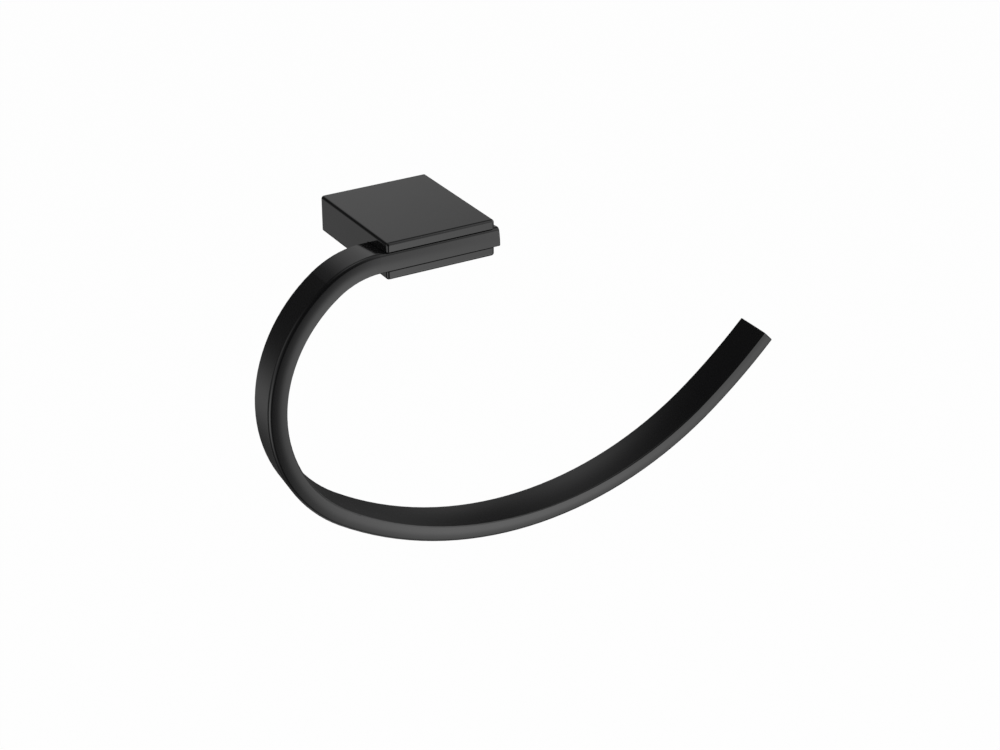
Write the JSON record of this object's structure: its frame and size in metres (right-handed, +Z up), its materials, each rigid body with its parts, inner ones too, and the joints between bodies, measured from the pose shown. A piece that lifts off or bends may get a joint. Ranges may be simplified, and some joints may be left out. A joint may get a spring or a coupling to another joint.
{
  "type": "towel ring",
  "caption": "Open towel ring: a flat bar bent into a wide curve with one free end, held in a slot across the front of a slim rectangular wall bracket.",
  "frame": {"origin": "centre of the bracket's wall face, in the plane of the wall", "axes": "+Y into the wall, +Z up, +X to the right for someone who faces the wall; the ring hangs to the left and below and its open end is at the right"},
  "size_m": [0.2271, 0.0534, 0.1367],
  "materials": {
    "black_finish": "satin",
    "plate_steel": "satin",
    "screw_steel": "satin"
  },
  "bodies": {
    "root": {"bracket_body": "black_finish", "ring_bar": "black_finish", "bar_screw_left": "screw_steel", "bar_screw_right": "screw_steel", "wall_plate": "plate_steel", "grub_screw": "screw_steel"}
  },
  "joints": []
}
